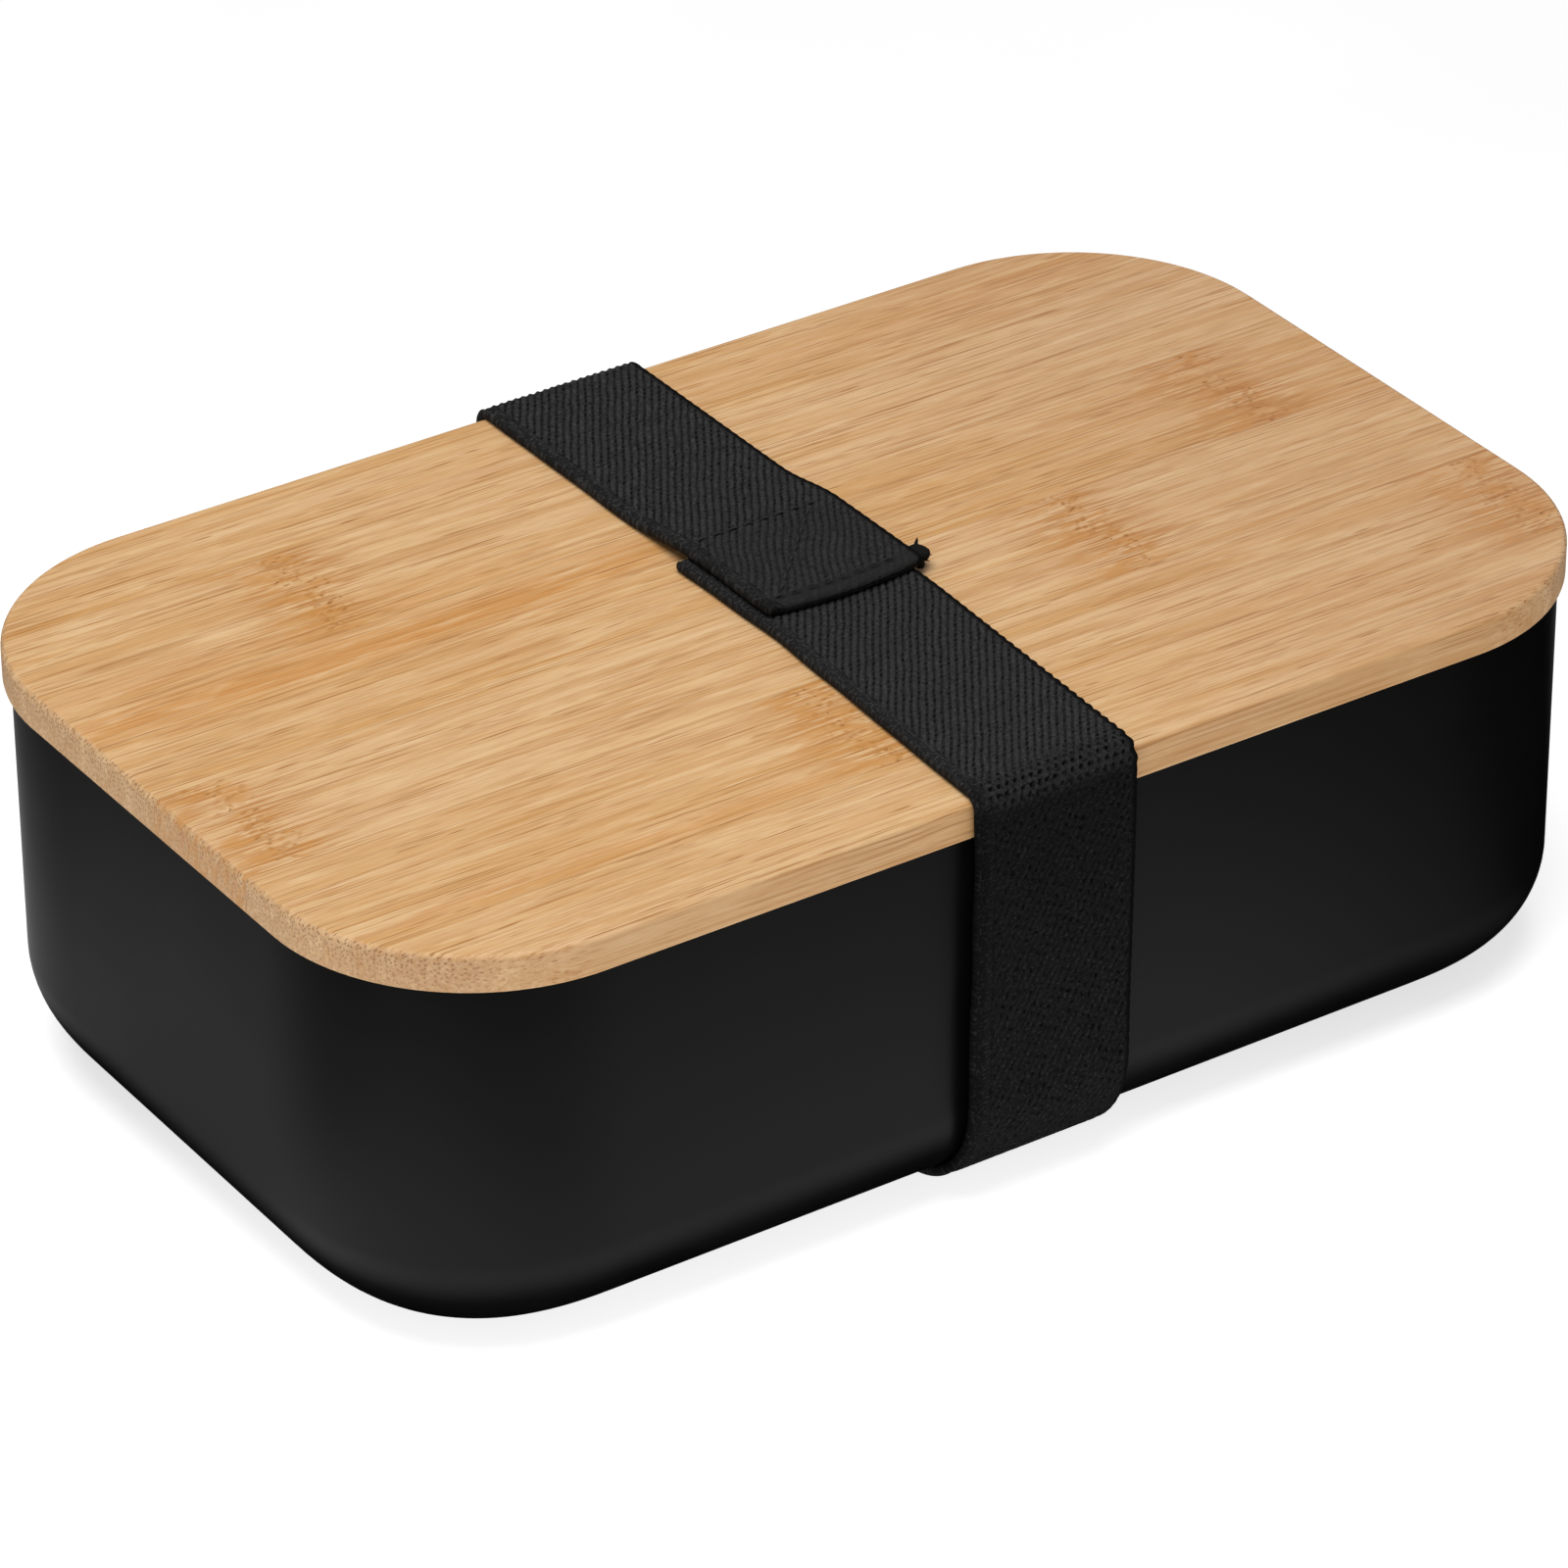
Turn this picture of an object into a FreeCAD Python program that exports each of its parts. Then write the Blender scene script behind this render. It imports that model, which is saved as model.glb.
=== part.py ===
import FreeCAD, Part
import os
import math
import Sketcher

# A lift-off-lid lunch box: a moulded container, a lid of glued bamboo strips with a plug and
# a seal ring, and an elastic strap sewn into a loop round the whole box.
# Millimetres. +X along the box, -Y its front, +Z up. The origin is under the centre of the
# box, on the surface that the strap's underside rests on.

SIZES = [
    # the lid's upper ply
    ("box_length", 190.0),
    ("box_width", 117.0),
    ("lid_corner", 29.0),
    ("lid_ply", 5.2),
    ("lid_overhang", 1.05),
    ("lid_top_bevel", 0.6),
    ("lid_under_bevel", 0.3),
    ("strip_width", 22.0),
    ("back_seam", 42.6),
    # the lid's lower ply, which drops into the container
    ("plug_depth", 6.0),
    ("plug_gap", 1.2),
    ("plug_edge_bevel", 0.8),
    ("groove_drop", 1.8),
    ("groove_depth", 2.2),
    # the seal ring in the plug's groove
    ("seal_height", 2.6),
    ("seal_gap", 0.12),
    ("seal_lip", 0.8),
    # the container
    ("container_height", 54.5),
    ("wall", 2.0),
    ("bottom_round", 14.3),
    ("rim_round", 0.5),
    ("foot_inset", 22.0),
    ("foot_recess", 0.6),
    # how far a cutter stands outside what it cuts
    ("cutter_margin", 1.0),
    # the elastic strap
    ("strap_width", 25.0),
    ("strap_thickness", 1.5),
    ("strap_gap", 0.2),
    ("strap_shift", 1.2),
    ("strap_low_bend", 16.0),
    ("strap_high_bend", 1.3),
    ("lap_front", 9.7),
    ("lap_back", 13.0),
    ("lap_end_round", 0.6),
    # the sewing on the strap's lap
    ("stitch_length", 1.4),
    ("stitch_width", 0.5),
    ("stitch_height", 0.25),
    ("stitch_pitch", 2.4),
    ("seam_back", 10.5),
    ("seam_front", 6.0),
]
LID_STRIPS = 6
PLUG_STRIPS = 5
ROW_STITCHES = 8
DIAGONAL_STITCHES = 8

# Lengths that several sub-parts share, each worked out from the sheet's cells.
BASE = "(Sizes.strap_thickness + Sizes.strap_gap)"
RIM = f"({BASE} + Sizes.container_height)"
LID_TOP = f"({RIM} + Sizes.lid_ply)"
HALF_LENGTH = "(Sizes.box_length / 2)"
HALF_WIDTH = "(Sizes.box_width / 2)"
STRAP_INSIDE = f"({HALF_WIDTH} + Sizes.strap_gap)"
STRAP_TOP = f"({LID_TOP} + Sizes.strap_gap + Sizes.strap_thickness)"
LAP_TOP = f"({STRAP_TOP} + Sizes.strap_thickness)"
MOUTH_INSET = "(Sizes.lid_overhang + Sizes.wall)"
PLUG_INSET = f"({MOUTH_INSET} + Sizes.plug_gap)"
GROOVE_INSET = f"({PLUG_INSET} + Sizes.groove_depth)"
SEAL_INSET = f"({MOUTH_INSET} + Sizes.seal_gap)"
SEAL_TOP = f"({RIM} - Sizes.groove_drop)"

doc = FreeCAD.newDocument("LunchBox")
sheet = doc.addObject("Spreadsheet::Sheet", "Sizes")
for row, (alias, value) in enumerate(SIZES, start=1):
    sheet.set(f"A{row}", alias)
    sheet.set(f"B{row}", str(value))
    sheet.setAlias(f"B{row}", alias)
doc.recompute()


def number(expression):
    """The value of an expression in the sheet's cells, in millimetres."""
    value = sheet.evalExpression(expression)
    return float(getattr(value, "Value", value))


def origin_plane(body, role):
    """One of a body's own origin planes, such as XY_Plane."""
    return next(f for f in body.Origin.OriginFeatures if f.Role == role)


def new_body(label):
    body = doc.addObject("PartDesign::Body", label)
    body.Label = label
    return body


def new_sketch(body, name, role, offsets):
    """A sketch on an origin plane, moved by expressions such as {"z": "Sizes.wall"}."""
    sketch = body.newObject("Sketcher::SketchObject", name)
    sketch.AttachmentSupport = (origin_plane(body, role), [""])
    sketch.MapMode = "FlatFace"
    for direction, expression in offsets.items():
        sketch.setExpression(f"AttachmentOffset.Base.{direction}", expression)
    return sketch


def bind(sketch, name, expression, *constraint):
    """Add one dimension to a sketch, named, and driven by an expression."""
    index = sketch.addConstraint(Sketcher.Constraint(*constraint, number(expression)))
    sketch.renameConstraint(index, name)
    sketch.setExpression(f"Constraints.{name}", expression)


def rounded_rectangle(sketch, name, half_wide, half_tall, low_corner, high_corner):
    """A closed outline centred on the sketch's origin, with one radius for its two low corners
    and one for its two high corners. Every argument after name is an expression."""
    wide, tall = number(half_wide), number(half_tall)
    low, high = number(low_corner), number(high_corner)
    corners = [(1, -1, low), (1, 1, high), (-1, 1, high), (-1, -1, low)]
    up = FreeCAD.Vector(0, 0, 1)
    arcs = []
    for turn, (side_x, side_y, radius) in enumerate(corners):
        centre = FreeCAD.Vector(side_x * (wide - radius), side_y * (tall - radius), 0)
        start = (turn - 1) * math.pi / 2
        circle = Part.Circle(centre, up, radius)
        arcs.append(sketch.addGeometry(Part.ArcOfCircle(circle, start, start + math.pi / 2)))
    lines = []
    for turn in range(4):
        ends = [sketch.getPoint(arcs[turn - 1], 2), sketch.getPoint(arcs[turn], 1)]
        lines.append(sketch.addGeometry(Part.LineSegment(*ends)))
    for turn in range(4):
        sketch.addConstraint(Sketcher.Constraint("Tangent", arcs[turn - 1], 2, lines[turn], 1))
        sketch.addConstraint(Sketcher.Constraint("Tangent", lines[turn], 2, arcs[turn], 1))
    bottom, right, top, left = lines
    for level in (bottom, top):
        sketch.addConstraint(Sketcher.Constraint("Horizontal", level))
    for upright in (left, right):
        sketch.addConstraint(Sketcher.Constraint("Vertical", upright))
    bind(sketch, f"{name}_right", half_wide, "DistanceX", -1, 1, right, 1)
    bind(sketch, f"{name}_left", half_wide, "DistanceX", left, 1, -1, 1)
    bind(sketch, f"{name}_top", half_tall, "DistanceY", -1, 1, top, 1)
    bind(sketch, f"{name}_bottom", half_tall, "DistanceY", bottom, 1, -1, 1)
    radii = [low_corner, high_corner, high_corner, low_corner]
    for turn, radius in enumerate(radii):
        bind(sketch, f"{name}_radius_{turn + 1}", radius, "Radius", arcs[turn])


def plan_outline(sketch, name, inset):
    """The lid's outline in plan, moved in by an expression."""
    corner = f"Sizes.lid_corner - {inset}"
    half_wide = f"{HALF_LENGTH} - {inset}"
    half_tall = f"{HALF_WIDTH} - {inset}"
    rounded_rectangle(sketch, name, half_wide, half_tall, corner, corner)


def pad(body, name, sketch, length, midplane=False):
    feature = body.newObject("PartDesign::Pad", name)
    feature.Profile = sketch
    feature.Midplane = midplane
    feature.setExpression("Length", length)
    doc.recompute()
    return feature


def pocket_up(body, name, sketch, length):
    """Cut a sketch upwards, and make sure that the cut took something away."""
    before = body.Shape.Volume
    feature = body.newObject("PartDesign::Pocket", name)
    feature.Profile = sketch
    feature.Reversed = True
    feature.setExpression("Length", length)
    doc.recompute()
    if body.Shape.Volume >= before:
        raise RuntimeError(f"{name} cut nothing")
    return feature


def edges_where(feature, test):
    """The names of a feature's edges whose bounding box passes a test."""
    edges = enumerate(feature.Shape.Edges, start=1)
    return [f"Edge{index}" for index, edge in edges if test(edge.BoundBox)]


def flat_at(level):
    """A test for edges that lie in the horizontal plane at a level."""
    return lambda box: abs(box.ZMin - level) < 1e-4 and abs(box.ZMax - level) < 1e-4


def fillet(body, name, feature, test, radius):
    rounding = body.newObject("PartDesign::Fillet", name)
    rounding.Base = (feature, edges_where(feature, test))
    rounding.setExpression("Radius", radius)
    doc.recompute()
    return rounding


def chamfer(body, name, feature, test, size):
    bevel = body.newObject("PartDesign::Chamfer", name)
    bevel.Base = (feature, edges_where(feature, test))
    bevel.setExpression("Size", size)
    doc.recompute()
    return bevel


def make_container():
    """An open moulded tub: walls and floor of one thickness, a large round along its bottom
    edge inside and out, and a shallow recess under its floor."""
    body = new_body("container")
    outside = new_sketch(body, "container_outside", "XY_Plane", {"z": BASE})
    plan_outline(outside, "outside", "Sizes.lid_overhang")
    pad(body, "container_block", outside, "Sizes.container_height")

    floor = f"{BASE} + Sizes.wall"
    inside = new_sketch(body, "container_inside", "XY_Plane", {"z": floor})
    plan_outline(inside, "inside", MOUTH_INSET)
    depth = "Sizes.container_height - Sizes.wall"
    hollow = pocket_up(body, "container_hollow", inside, depth)
    inner_radius = "Sizes.bottom_round - Sizes.wall"
    inner = fillet(body, "container_inner_round", hollow, flat_at(number(floor)), inner_radius)
    low = fillet(
        body, "container_low_round", inner, flat_at(number(BASE)), "Sizes.bottom_round"
    )
    fillet(body, "container_rim", low, flat_at(number(RIM)), "Sizes.rim_round")

    recess = new_sketch(body, "container_recess", "XY_Plane", {"z": BASE})
    plan_outline(recess, "recess", "Sizes.foot_inset")
    pocket_up(body, "container_foot", recess, "Sizes.foot_recess")
    return body


def make_lid_blank():
    """The lid's upper ply before it is divided into strips."""
    body = new_body("lid_blank")
    outline = new_sketch(body, "lid_outline", "XY_Plane", {"z": RIM})
    plan_outline(outline, "lid", "0")
    board = pad(body, "lid_board", outline, "Sizes.lid_ply")
    top = chamfer(body, "lid_top_edge", board, flat_at(number(LID_TOP)), "Sizes.lid_top_bevel")
    chamfer(body, "lid_under_edge", top, flat_at(number(RIM)), "Sizes.lid_under_bevel")
    return body


def make_plug_blank():
    """The lid's lower ply before it is divided into strips, with the seal's groove."""
    body = new_body("plug_blank")
    bottom = f"{RIM} - Sizes.plug_depth"
    outline = new_sketch(body, "plug_outline", "XY_Plane", {"z": bottom})
    plan_outline(outline, "plug", PLUG_INSET)
    board = pad(body, "plug_board", outline, "Sizes.plug_depth")
    chamfer(body, "plug_edge", board, flat_at(number(bottom)), "Sizes.plug_edge_bevel")
    groove_bottom = f"{SEAL_TOP} - Sizes.seal_height"
    groove = new_sketch(body, "groove_outline", "XY_Plane", {"z": groove_bottom})
    plan_outline(groove, "groove_outer", f"({PLUG_INSET} - Sizes.cutter_margin)")
    plan_outline(groove, "groove_inner", GROOVE_INSET)
    pocket_up(body, "seal_groove", groove, "Sizes.seal_height")
    return body


def cut_strips(blank, label, count, back_edge):
    """Divide a blank into strips that run along X, numbered from the back. back_edge is an
    expression for the Y of the first strip's back edge."""
    for index in range(count):
        slab = doc.addObject("Part::Box", f"{label}_slab_{index + 1}")
        slab.setExpression("Length", "Sizes.box_length * 2")
        slab.setExpression("Width", "Sizes.strip_width")
        slab.setExpression("Height", f"{LID_TOP} * 2")
        slab.setExpression("Placement.Base.x", "-Sizes.box_length")
        slab.setExpression("Placement.Base.y", f"{back_edge} - Sizes.strip_width * {index + 1}")
        strip = doc.addObject("Part::Common", f"{label}_{index + 1}")
        strip.Base = blank
        strip.Tool = slab
        strip.Label = f"{label}_{index + 1}"


def make_seal_ring():
    """A silicone ring with two lips that point at the container's wall."""
    body = new_body("seal_ring")
    bottom = f"{SEAL_TOP} - Sizes.seal_height"
    ring = new_sketch(body, "ring_outline", "XY_Plane", {"z": bottom})
    plan_outline(ring, "ring_outer", SEAL_INSET)
    plan_outline(ring, "ring_inner", GROOVE_INSET)
    pad(body, "ring_band", ring, "Sizes.seal_height")
    between = new_sketch(body, "lip_gap", "XY_Plane", {"z": f"{bottom} + Sizes.seal_lip"})
    plan_outline(between, "gap_outer", f"({SEAL_INSET} - Sizes.cutter_margin)")
    plan_outline(between, "gap_inner", PLUG_INSET)
    pocket_up(body, "ring_lips", between, "Sizes.seal_height - 2 * Sizes.seal_lip")
    return body


def make_elastic_strap():
    """A closed woven band round the box's middle, with its second ply on top where the two
    ends are lapped and sewn."""
    body = new_body("elastic_strap")
    middle = {"y": f"{STRAP_TOP} / 2", "z": "Sizes.strap_shift"}
    section = new_sketch(body, "strap_section", "YZ_Plane", middle)
    rounded_rectangle(
        section,
        "outside",
        f"{STRAP_INSIDE} + Sizes.strap_thickness",
        f"{STRAP_TOP} / 2",
        "Sizes.strap_low_bend + Sizes.strap_thickness",
        "Sizes.strap_high_bend + Sizes.strap_thickness",
    )
    rounded_rectangle(
        section,
        "inside",
        STRAP_INSIDE,
        f"{STRAP_TOP} / 2 - Sizes.strap_thickness",
        "Sizes.strap_low_bend",
        "Sizes.strap_high_bend",
    )
    pad(body, "strap_band", section, "Sizes.strap_width", midplane=True)
    place = {
        "x": "Sizes.strap_shift",
        "y": "(Sizes.lap_back - Sizes.lap_front) / 2",
        "z": STRAP_TOP,
    }
    lap = new_sketch(body, "lap_outline", "XY_Plane", place)
    rounded_rectangle(
        lap,
        "lap",
        "Sizes.strap_width / 2",
        "(Sizes.lap_back + Sizes.lap_front) / 2",
        "Sizes.lap_end_round",
        "Sizes.lap_end_round",
    )
    pad(body, "strap_lap", lap, "Sizes.strap_thickness")
    return body


def add_stitch(name, along_x, along_y, angle):
    """One stitch of thread on top of the lap, centred on a point and turned about Z."""
    stitch = doc.addObject("Part::Box", name)
    stitch.setExpression("Length", "Sizes.stitch_length")
    stitch.setExpression("Width", "Sizes.stitch_width")
    stitch.setExpression("Height", "Sizes.stitch_height")
    stitch.Placement.Rotation = FreeCAD.Rotation(FreeCAD.Vector(0, 0, 1), angle)
    cosine, sine = math.cos(math.radians(angle)), math.sin(math.radians(angle))
    back_x = f"(Sizes.stitch_length * {cosine:.6f} - Sizes.stitch_width * {sine:.6f}) / 2"
    back_y = f"(Sizes.stitch_length * {sine:.6f} + Sizes.stitch_width * {cosine:.6f}) / 2"
    stitch.setExpression("Placement.Base.x", f"{along_x} - {back_x}")
    stitch.setExpression("Placement.Base.y", f"{along_y} - {back_y}")
    stitch.setExpression("Placement.Base.z", LAP_TOP)
    return stitch


def make_strap_stitching():
    """The thread in a Z: a row across the back of the lap, one across its front, and a
    diagonal between them."""
    stitches = []
    half_row = f"Sizes.stitch_pitch * {(ROW_STITCHES - 1) / 2}"
    for name, level in (("back", "Sizes.seam_back"), ("front", "-Sizes.seam_front")):
        for index in range(ROW_STITCHES):
            along_x = f"Sizes.strap_shift - {half_row} + Sizes.stitch_pitch * {index}"
            stitches.append(add_stitch(f"{name}_stitch_{index + 1}", along_x, level, 0))
    rise = number("Sizes.seam_back + Sizes.seam_front")
    run = 2 * number(half_row)
    slope = math.degrees(math.atan2(rise, run))
    for index in range(DIAGONAL_STITCHES - 1):
        share = (index + 1) / DIAGONAL_STITCHES
        along_x = f"Sizes.strap_shift + ({2 * share - 1:.6f}) * {half_row}"
        along_y = f"(Sizes.seam_back + Sizes.seam_front) * {share:.6f} - Sizes.seam_front"
        stitches.append(add_stitch(f"diagonal_stitch_{index + 1}", along_x, along_y, slope))
    thread = doc.addObject("Part::Compound", "strap_stitching")
    thread.Links = stitches
    thread.Label = "strap_stitching"
    return thread


make_container()
cut_strips(
    make_lid_blank(), "lid_strip", LID_STRIPS, "(Sizes.back_seam + Sizes.strip_width)"
)
cut_strips(
    make_plug_blank(), "plug_strip", PLUG_STRIPS, f"(Sizes.strip_width * {PLUG_STRIPS / 2})"
)
make_seal_ring()
make_elastic_strap()
make_strap_stitching()
doc.recompute()

NODES = ["container"]
NODES += [f"lid_strip_{index + 1}" for index in range(LID_STRIPS)]
NODES += [f"plug_strip_{index + 1}" for index in range(PLUG_STRIPS)]
NODES += ["seal_ring", "elastic_strap", "strap_stitching"]

for item in doc.Objects:
    if "Invalid" in item.State or "Error" in item.State:
        raise RuntimeError(f"{item.Label} failed: {item.State}")
parts = {}
for node in NODES:
    parts[node] = doc.getObjectsByLabel(node)[0].Shape
    if parts[node].isNull() or not parts[node].isValid():
        raise RuntimeError(f"{node} has no valid shape")

os.makedirs("parts", exist_ok=True)
for node, shape in parts.items():
    shape.exportStep(f"parts/{node}.step")
    box = shape.BoundBox
    print(
        f"{node}: {len(shape.Solids)} solid(s), {shape.Volume / 1000:.3f} cm3, "
        f"x {box.XMin:.2f} to {box.XMax:.2f}, y {box.YMin:.2f} to {box.YMax:.2f}, "
        f"z {box.ZMin:.2f} to {box.ZMax:.2f}"
    )
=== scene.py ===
import math
import random

import bpy
import numpy as np
from mathutils import Matrix, Vector


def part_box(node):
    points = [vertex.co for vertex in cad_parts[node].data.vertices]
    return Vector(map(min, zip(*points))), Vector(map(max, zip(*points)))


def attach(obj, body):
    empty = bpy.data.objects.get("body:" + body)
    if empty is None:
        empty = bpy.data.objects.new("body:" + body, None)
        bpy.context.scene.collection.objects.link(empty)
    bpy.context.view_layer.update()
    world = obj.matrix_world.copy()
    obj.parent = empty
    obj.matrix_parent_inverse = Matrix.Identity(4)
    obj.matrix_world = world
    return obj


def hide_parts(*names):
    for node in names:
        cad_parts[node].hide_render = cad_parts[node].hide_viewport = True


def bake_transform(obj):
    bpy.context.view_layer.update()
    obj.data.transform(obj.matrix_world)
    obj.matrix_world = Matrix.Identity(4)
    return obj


# The looks of a lunch box: a moulded container, a lid of bamboo strips with a plug and a seal
# ring under it, and a woven elastic strap whose lapped ends are sewn on top.
# Shapes are worked out in millimetres in the frame's own axes and stored in metres.

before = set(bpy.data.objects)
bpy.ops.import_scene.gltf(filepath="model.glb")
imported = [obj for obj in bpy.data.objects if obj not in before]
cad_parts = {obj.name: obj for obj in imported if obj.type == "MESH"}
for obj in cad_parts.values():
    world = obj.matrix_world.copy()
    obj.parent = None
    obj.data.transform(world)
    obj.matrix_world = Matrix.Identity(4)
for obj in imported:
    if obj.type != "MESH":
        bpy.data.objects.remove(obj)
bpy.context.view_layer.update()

MM = 0.001
RANDOM_SEED = 7


def node_box(node):
    """A CAD node's lowest and highest corners, in millimetres."""
    low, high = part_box(node)
    return low / MM, high / MM


# ---- sizes taken from the frame

CONTAINER_LOW, CONTAINER_HIGH = node_box("container")
LID_LOW, LID_HIGH = node_box("lid_strip_3")
PLUG_LOW, PLUG_HIGH = node_box("plug_strip_3")
SEAL_LOW, SEAL_HIGH = node_box("seal_ring")

HALF_LENGTH = LID_HIGH.x
HALF_WIDTH = -node_box("lid_strip_6")[0].y
LID_TOP = LID_HIGH.z
LID_UNDER = LID_LOW.z
OVERHANG = HALF_LENGTH - CONTAINER_HIGH.x
PLUG_INSET = HALF_LENGTH - PLUG_HIGH.x
SEAL_INSET = HALF_LENGTH - SEAL_HIGH.x

# ---- sizes that no box tells

LID_CORNER = 29.0
STRAIGHT_Y = HALF_WIDTH - LID_CORNER
TOP_ARRIS, UNDER_ARRIS, PLUG_ARRIS = 0.9, 0.4, 0.8
GROOVE_DEPTH, GROOVE_DRAFT = 2.2, 0.02
SEAL_LIP, SEAL_TIP, SEAL_NECK = 0.8, 0.3, 0.2
WALL, BOTTOM_ROUND, RIM_ROUND = 2.0, 14.3, 0.5
FOOT_INSET, FOOT_RECESS = 22.0, 0.6
# How far inside the foot the flat middle starts, and the heights of two rings up the wall.
FLAT_MIDDLE = 6
WALL_RINGS = (25, 38)

CORNER_STEPS = 30
# An eased corner starts this many times further out than a round one of the same size, and
# bends as a superellipse of this power.
EASED_REACH, EASED_POWER = 1.2, 2.515


# ---- mesh helpers


def mesh_object(name, points, faces, smooth=True):
    """A mesh object from points in millimetres."""
    mesh = bpy.data.meshes.new(name)
    mesh.from_pydata([tuple(c * MM for c in point) for point in points], [], faces)
    mesh.validate()
    mesh.update()
    for polygon in mesh.polygons:
        polygon.use_smooth = smooth
    made = bpy.data.objects.new(name, mesh)
    bpy.context.collection.objects.link(made)
    return made


def keep_flats_flat(piece, sharp_angle=40):
    """Smooth rounds beside flat faces that stay flat, with true corners left sharp."""
    piece.data.set_sharp_from_angle(angle=math.radians(sharp_angle))
    weighted = piece.modifiers.new("weighted_normals", "WEIGHTED_NORMAL")
    weighted.keep_sharp = True


def skin(rings, count, closed=False, turned=False):
    """Faces over rings of count points each. A closed skin joins its last ring to its first,
    and an open one has a flat face at both ends. A turned skin faces the other way."""
    faces = []
    for ring in range(rings if closed else rings - 1):
        base, above = ring * count, (ring + 1) % rings * count
        for step in range(count):
            after = (step + 1) % count
            face = [base + step, base + after, above + after, above + step]
            faces.append([face[0], *face[:0:-1]] if turned else face)
    if not closed:
        first, last = list(range(count)), list(range((rings - 1) * count, rings * count))
        faces += [first, last[::-1]] if turned else [first[::-1], last]
    return faces


def corner_levels(inset, low, high):
    """The y of points up one end of the outline moved in by inset, from low to high, with as
    many points for every inset so that rings can be joined."""
    radius = LID_CORNER - inset
    levels = []
    stops = (-HALF_WIDTH, -STRAIGHT_Y, STRAIGHT_Y, HALF_WIDTH)
    for start, stop in zip(stops, stops[1:]):
        first, last = max(start, low), min(stop, high)
        if last - first < 1e-6:
            continue
        if start == -STRAIGHT_Y:
            found = [first, last]
        else:
            side = -1 if stop < 0 else 1
            past = np.abs([first, last]) - STRAIGHT_Y
            share = abs(np.diff(np.arcsin(past / LID_CORNER))[0]) / (math.pi / 2)
            ends = side * np.arcsin(np.clip(past / radius, 0, 1))
            steps = max(3, round(share * CORNER_STEPS))
            found = side * STRAIGHT_Y + radius * np.sin(np.linspace(*ends, steps))
        levels += list(found[1:] if levels else found)
    return levels


def half_length_at(level, inset):
    """Half the outline's length at y = level, when it is moved in by inset."""
    radius = LID_CORNER - inset
    past = min(max(abs(level) - STRAIGHT_Y, 0.0), radius)
    return HALF_LENGTH - LID_CORNER + math.sqrt(max(radius * radius - past * past, 0.0))


def strip_piece(name, profile, low, high):
    """A strip of board between two seams, y = low and high. profile lists (inset, z) from the
    strip's underside to its top: the inset moves the outer edges in, not the seams."""
    points = []
    for inset, height in profile:
        right = [(half_length_at(level, inset), level, height)
                 for level in corner_levels(inset, low, high)]
        points += right + [(-x, y, z) for x, y, z in reversed(right)]
    piece = mesh_object(name, points, skin(len(profile), len(points) // len(profile)))
    keep_flats_flat(piece)
    return piece


def outline_ring(inset, height, eased=False):
    """The rounded outline moved in by inset, as points at one height. An eased one bends into
    its corners gradually, so that reflections have no hard edge there."""
    reach, power = (EASED_REACH, EASED_POWER) if eased else (1.0, 2.0)
    radius = reach * max(LID_CORNER - inset, 0.05)
    centre_x, centre_y = HALF_LENGTH - inset - radius, HALF_WIDTH - inset - radius
    ring = []
    for turn, (side_x, side_y) in enumerate(((1, 1), (-1, 1), (-1, -1), (1, -1))):
        for step in range(CORNER_STEPS + 1):
            angle = (turn + step / CORNER_STEPS) * math.pi / 2
            out_x, out_y = abs(math.cos(angle)) ** (2 / power), abs(math.sin(angle)) ** (2 / power)
            ring.append((side_x * (centre_x + radius * out_x),
                         side_y * (centre_y + radius * out_y), height))
    return ring


def ring_piece(name, profile, closed, eased=0):
    """A piece round the outline. profile lists (inset, z): a closed one is a ring's section,
    and an open one starts and ends flat, as a tub does. The first eased rings have eased
    corners."""
    points = []
    for index, (inset, height) in enumerate(profile):
        points += outline_ring(inset, height, index < eased)
    return mesh_object(name, points, skin(len(profile), len(points) // len(profile), closed))


def quarter_round(centre_inset, centre_z, radius, start, stop, steps):
    """Profile points on an arc. Angles are in degrees: 0 points outwards and 90 points up."""
    return [(centre_inset - radius * math.cos(angle), centre_z + radius * math.sin(angle))
            for angle in np.radians(np.linspace(start, stop, steps + 1))]


# ---- material helpers


def from_srgb(red, green, blue):
    """A linear colour from 0 to 255 display values."""
    linear = []
    for value in (red, green, blue):
        share = value / 255
        linear.append(share / 12.92 if share <= 0.04045 else ((share + 0.055) / 1.055) ** 2.4)
    return (*linear, 1.0)


def grey(tone):
    return from_srgb(tone, tone, tone)


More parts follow.
